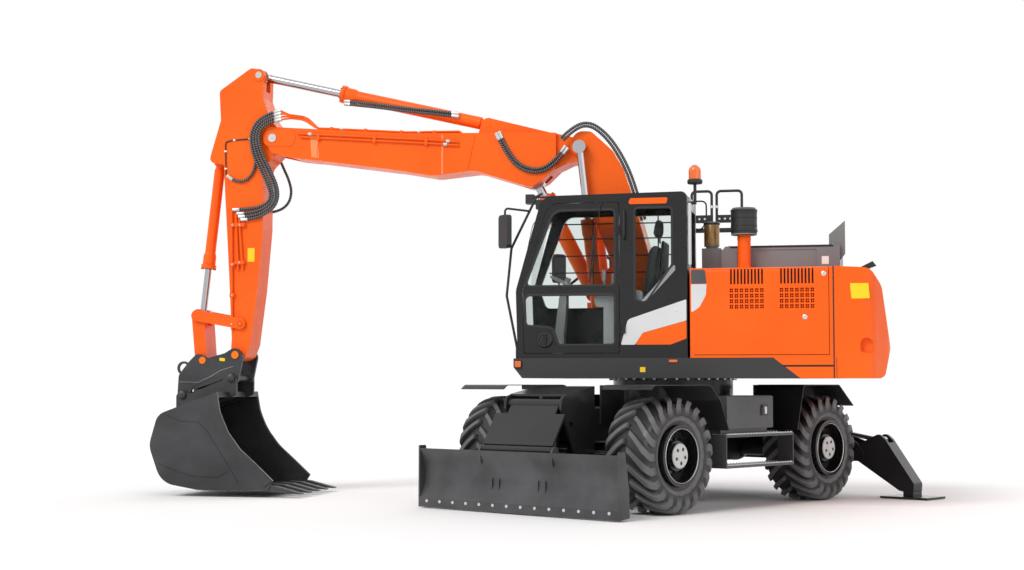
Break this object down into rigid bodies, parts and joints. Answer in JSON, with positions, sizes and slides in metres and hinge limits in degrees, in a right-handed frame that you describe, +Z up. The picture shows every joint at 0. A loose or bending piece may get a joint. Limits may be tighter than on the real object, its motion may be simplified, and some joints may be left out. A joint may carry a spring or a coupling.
{
  "type": "wheeled excavator",
  "caption": "Wheeled excavator with cab, two-piece boom, arm, quick coupler and toothed bucket, a front dozer blade and two rear stabilisers.",
  "frame": {"origin": "middle of the parked machine's bounding box, on the ground under the tyres", "axes": "+X forwards along the upper structure and the boom, +Y to the cab's side (left), +Z up; the undercarriage stands turned 60 degrees to the left under it"},
  "size_m": [8.627, 5.765, 4.8467],
  "materials": {
    "orange_paint": "satin",
    "charcoal_paint": "satin",
    "grey_paint": "satin",
    "rim_paint": "satin",
    "worn_steel": "matte",
    "tyre_rubber": "matte",
    "rod_chrome": "polished",
    "black_plastic": "matte",
    "hose_rubber": "matte",
    "window_glass": "polished",
    "seat_fabric": "matte",
    "engine_iron": "matte"
  },
  "bodies": {
    "undercarriage": {"chassis_frame": "grey_paint", "fenders": "grey_paint", "side_boxes": "grey_paint", "front_axle": "grey_paint", "rear_axle": "grey_paint"},
    "tie_rod": {"tie_rod": "rod_chrome"},
    "knuckle_l": {"knuckle_l": "grey_paint"},
    "knuckle_r": {"knuckle_r": "grey_paint"},
    "tool_box_lid": {"tool_box_lid": "grey_paint"},
    "revolving_frame": {"platform": "grey_paint", "counterweight": "orange_paint", "engine_block": "engine_iron", "hood": "orange_paint", "hood_deck": "black_plastic", "right_housing": "orange_paint", "cab_shell": "charcoal_paint", "cab_glass": "window_glass", "driver_seat": "seat_fabric", "console": "black_plastic", "rails_and_lamps": "black_plastic"},
    "cab_door": {"cab_door": "charcoal_paint", "door_glass": "window_glass"},
    "bucket": {"coupler": "worn_steel", "bucket": "worn_steel"},
    "base_boom": {"base_boom": "orange_paint", "base_boom_hoses": "hose_rubber"},
    "upper_boom": {"upper_boom": "orange_paint", "boom_hoses": "hose_rubber"},
    "arm": {"arm": "orange_paint", "arm_hoses": "hose_rubber"},
    "wheel_fl": {"tyre_fl": "tyre_rubber", "rim_fl": "rim_paint"},
    "wheel_fr": {"tyre_fr": "tyre_rubber", "rim_fr": "rim_paint"},
    "wheel_rl": {"tyre_rl": "tyre_rubber", "rim_rl": "rim_paint"},
    "wheel_rr": {"tyre_rr": "tyre_rubber", "rim_rr": "rim_paint"},
    "blade_lower_links": {"blade_lower_links": "grey_paint"},
    "blade_upper_link": {"blade_upper_link": "grey_paint"},
    "blade": {"blade": "grey_paint"},
    "blade_cylinder_barrels": {"blade_cylinder_barrels": "grey_paint"},
    "blade_cylinder_rods": {"blade_cylinder_rods": "rod_chrome"},
    "stabiliser_leg_l": {"stabiliser_leg_l": "grey_paint"},
    "stabiliser_barrel_l": {"stabiliser_barrel_l": "grey_paint"},
    "stabiliser_rod_l": {"stabiliser_rod_l": "rod_chrome"},
    "stabiliser_leg_r": {"stabiliser_leg_r": "grey_paint"},
    "stabiliser_barrel_r": {"stabiliser_barrel_r": "grey_paint"},
    "stabiliser_rod_r": {"stabiliser_rod_r": "rod_chrome"},
    "engine_door": {"engine_door": "orange_paint"},
    "boom_cylinder_barrels": {"boom_cylinder_barrels": "orange_paint"},
    "boom_cylinder_rods": {"boom_cylinder_rods": "rod_chrome"},
    "positioning_barrel": {"positioning_barrel": "orange_paint"},
    "positioning_rod": {"positioning_rod": "rod_chrome"},
    "arm_cylinder_barrel": {"arm_cylinder_barrel": "orange_paint"},
    "arm_cylinder_rod": {"arm_cylinder_rod": "rod_chrome"},
    "idler_links": {"idler_links": "worn_steel"},
    "bucket_link": {"bucket_link": "worn_steel"},
    "bucket_cylinder_barrel": {"bucket_cylinder_barrel": "orange_paint"},
    "bucket_cylinder_rod": {"bucket_cylinder_rod": "rod_chrome"}
  },
  "joints": [
    {"name": "slew", "type": "hinge", "parent": "undercarriage", "child": "revolving_frame", "pos_m": [-1.464, 0.033, 1.2], "axis": [0, 0, 1], "continuous": true},
    {"name": "steer_l", "type": "hinge", "parent": "undercarriage", "child": "knuckle_l", "pos_m": [-1.27475, 1.6708, 0.562], "axis": [0, 0, 1], "range_deg": [-30, 30]},
    {"name": "wheel_fl", "type": "hinge", "parent": "knuckle_l", "child": "wheel_fl", "pos_m": [-1.54754, 1.8283, 0.562], "axis": [-0.866, 0.5, 0], "continuous": true},
    {"name": "wheel_rl", "type": "hinge", "parent": "undercarriage", "child": "wheel_rl", "pos_m": [-2.87504, -0.471, 0.562], "axis": [-0.866, 0.5, 0], "continuous": true},
    {"name": "steer_r", "type": "hinge", "parent": "undercarriage", "child": "knuckle_r", "pos_m": [-0.14025, 1.0158, 0.562], "axis": [0, 0, 1], "range_deg": [-30, 30]},
    {"name": "wheel_fr", "type": "hinge", "parent": "knuckle_r", "child": "wheel_fr", "pos_m": [0.13254, 0.8583, 0.562], "axis": [-0.866, 0.5, 0], "continuous": true},
    {"name": "wheel_rr", "type": "hinge", "parent": "undercarriage", "child": "wheel_rr", "pos_m": [-1.19496, -1.441, 0.562], "axis": [-0.866, 0.5, 0], "continuous": true},
    {"name": "steering_rod", "type": "slide", "parent": "undercarriage", "child": "tie_rod", "axis": [-0.866, 0.5, 0], "range_m": [-0.125, 0.125]},
    {"name": "tool_box_lid_hinge", "type": "hinge", "parent": "undercarriage", "child": "tool_box_lid", "pos_m": [-2.51016, 0.637, 1.122], "axis": [0.5, 0.866, 0], "range_deg": [0, 95]},
    {"name": "blade_lift", "type": "hinge", "parent": "undercarriage", "child": "blade_lower_links", "pos_m": [-0.459, 1.77371, 0.64], "axis": [0.866, -0.5, 0], "range_deg": [-2, 45]},
    {"name": "blade_upper_link_swing", "type": "hinge", "parent": "undercarriage", "child": "blade_upper_link", "pos_m": [-0.364, 1.93826, 1.06], "axis": [0.866, -0.5, 0], "range_deg": [-3, 46]},
    {"name": "blade_level", "type": "hinge", "parent": "blade_lower_links", "child": "blade", "pos_m": [-0.324, 2.00754, 0.2], "axis": [0.866, -0.5, 0], "range_deg": [-46, 3]},
    {"name": "blade_cylinder_swing", "type": "hinge", "parent": "undercarriage", "child": "blade_cylinder_barrels", "pos_m": [-0.439, 1.80835, 1], "axis": [0.866, -0.5, 0], "range_deg": [-1.5, 22.96]},
    {"name": "blade_cylinder_stroke", "type": "slide", "parent": "blade_cylinder_barrels", "child": "blade_cylinder_rods", "axis": [0.1089, 0.1885, -0.976], "range_m": [-0.1357, 0.0079]},
    {"name": "stabiliser_fold_l", "type": "hinge", "parent": "undercarriage", "child": "stabiliser_leg_l", "pos_m": [-3.43395, -1.13905, 0.49], "axis": [0.5, 0.866, 0], "range_deg": [0, 70]},
    {"name": "stabiliser_cylinder_swing_l", "type": "hinge", "parent": "undercarriage", "child": "stabiliser_barrel_l", "pos_m": [-2.72381, -1.54905, 0.8], "axis": [0.5, 0.866, 0], "range_deg": [-0.5, 10.5]},
    {"name": "stabiliser_cylinder_stroke_l", "type": "slide", "parent": "stabiliser_barrel_l", "child": "stabiliser_rod_l", "axis": [-0.8543, 0.4933, -0.1637], "range_m": [-0.3006, 0.002]},
    {"name": "stabiliser_fold_r", "type": "hinge", "parent": "undercarriage", "child": "stabiliser_leg_r", "pos_m": [-1.49405, -2.25905, 0.49], "axis": [-0.5, -0.866, 0], "range_deg": [0, 70]},
    {"name": "stabiliser_cylinder_swing_r", "type": "hinge", "parent": "undercarriage", "child": "stabiliser_barrel_r", "pos_m": [-2.20419, -1.84905, 0.8], "axis": [-0.5, -0.866, 0], "range_deg": [-0.5, 10.5]},
    {"name": "stabiliser_cylinder_stroke_r", "type": "slide", "parent": "stabiliser_barrel_r", "child": "stabiliser_rod_r", "axis": [0.8543, -0.4933, -0.1637], "range_m": [-0.3006, 0.002]},
    {"name": "cab_door_hinge", "type": "hinge", "parent": "revolving_frame", "child": "cab_door", "pos_m": [-1.08, 1.296, 2.3], "axis": [0, 0, 1], "range_deg": [0, 150]},
    {"name": "engine_door_hinge", "type": "hinge", "parent": "revolving_frame", "child": "engine_door", "pos_m": [-1.8303, 1.282, 1.95], "axis": [0, 0, 1], "range_deg": [-90, 0]},
    {"name": "boom_lift", "type": "hinge", "parent": "revolving_frame", "child": "base_boom", "pos_m": [-1.244, 0.033, 1.93], "axis": [0, -1, 0], "range_deg": [-60, 3]},
    {"name": "boom_cylinder_swing", "type": "hinge", "parent": "revolving_frame", "child": "boom_cylinder_barrels", "pos_m": [-0.744, 0.033, 1.62], "axis": [0, -1, 0], "range_deg": [-60.23, 3.49]},
    {"name": "boom_cylinder_stroke", "type": "slide", "parent": "boom_cylinder_barrels", "child": "boom_cylinder_rods", "axis": [0.1094, 0, 0.994], "range_m": [-0.5907, 0.0314]},
    {"name": "upper_boom_fold", "type": "hinge", "parent": "base_boom", "child": "upper_boom", "pos_m": [-0.504, 0.033, 3.8], "axis": [0, 1, 0], "range_deg": [-62, 3]},
    {"name": "positioning_cylinder_swing", "type": "hinge", "parent": "base_boom", "child": "positioning_barrel", "pos_m": [-0.614, 0.033, 2.22], "axis": [0, 1, 0], "range_deg": [-7.34, 0.83]},
    {"name": "positioning_cylinder_stroke", "type": "slide", "parent": "positioning_barrel", "child": "positioning_rod", "axis": [0.4572, 0, 0.8894], "range_m": [-0.0321, 0.6232]},
    {"name": "arm_swing", "type": "hinge", "parent": "upper_boom", "child": "arm", "pos_m": [3.05, 0.033, 4.029], "axis": [0, 1, 0], "range_deg": [-60, 35]},
    {"name": "arm_cylinder_swing", "type": "hinge", "parent": "upper_boom", "child": "arm_cylinder_barrel", "pos_m": [0.566, 0.033, 4.12], "axis": [0, 1, 0], "range_deg": [-5.76, 3.57]},
    {"name": "arm_cylinder_stroke", "type": "slide", "parent": "arm_cylinder_barrel", "child": "arm_cylinder_rod", "axis": [0.9721, 0, 0.2347], "range_m": [-0.7052, 0.4122]},
    {"name": "bucket_curl", "type": "hinge", "parent": "arm", "child": "bucket", "pos_m": [3.456, 0.033, 1.571], "axis": [0, 1, 0], "range_deg": [-45, 90]},
    {"name": "idler_swing", "type": "hinge", "parent": "arm", "child": "idler_links", "pos_m": [3.426, 0.033, 1.927], "axis": [0, 1, 0], "range_deg": [-36.72, 72.43]},
    {"name": "bucket_link_swing", "type": "hinge", "parent": "idler_links", "child": "bucket_link", "pos_m": [3.955, 0.033, 2.023], "axis": [0, 1, 0], "range_deg": [-41.36, 21.18]},
    {"name": "bucket_cylinder_swing", "type": "hinge", "parent": "arm", "child": "bucket_cylinder_barrel", "pos_m": [3.757, 0.033, 3.8], "axis": [0, 1, 0], "range_deg": [-2.46, 4.42]},
    {"name": "bucket_cylinder_stroke", "type": "slide", "parent": "bucket_cylinder_barrel", "child": "bucket_cylinder_rod", "axis": [0.1107, 0, -0.9938], "range_m": [-0.293, 0.584]}
  ],
  "couplings": [
    {"joint": "steer_r", "follows": "steer_l", "ratio": 1},
    {"joint": "steering_rod", "follows": "steer_l", "m_per_rad": 0.2304},
    {"joint": "blade_upper_link_swing", "follows": "blade_lift", "ratio": 1},
    {"joint": "blade_level", "follows": "blade_lift", "ratio": -1},
    {"joint": "blade_cylinder_swing", "follows": "blade_lift", "ratio": 0.4992},
    {"joint": "blade_cylinder_stroke", "follows": "blade_lift", "m_per_rad": -0.1702},
    {"joint": "stabiliser_cylinder_swing_l", "follows": "stabiliser_fold_l", "ratio": 0.1428},
    {"joint": "stabiliser_cylinder_stroke_l", "follows": "stabiliser_fold_l", "m_per_rad": -0.2444},
    {"joint": "stabiliser_cylinder_swing_r", "follows": "stabiliser_fold_r", "ratio": 0.1428},
    {"joint": "stabiliser_cylinder_stroke_r", "follows": "stabiliser_fold_r", "m_per_rad": -0.2444},
    {"joint": "boom_cylinder_swing", "follows": "boom_lift", "ratio": 0.9955},
    {"joint": "boom_cylinder_stroke", "follows": "boom_lift", "m_per_rad": 0.5622},
    {"joint": "positioning_cylinder_swing", "follows": "upper_boom_fold", "ratio": 0.1103},
    {"joint": "positioning_cylinder_stroke", "follows": "upper_boom_fold", "m_per_rad": -0.5741},
    {"joint": "arm_cylinder_swing", "follows": "arm_swing", "ratio": 0.0877},
    {"joint": "arm_cylinder_stroke", "follows": "arm_swing", "m_per_rad": 0.6715},
    {"joint": "idler_swing", "follows": "bucket_curl", "ratio": 0.7937},
    {"joint": "bucket_link_swing", "follows": "bucket_curl", "ratio": -0.4484},
    {"joint": "bucket_cylinder_swing", "follows": "bucket_curl", "ratio": 0.0435},
    {"joint": "bucket_cylinder_stroke", "follows": "bucket_curl", "m_per_rad": 0.3705}
  ]
}
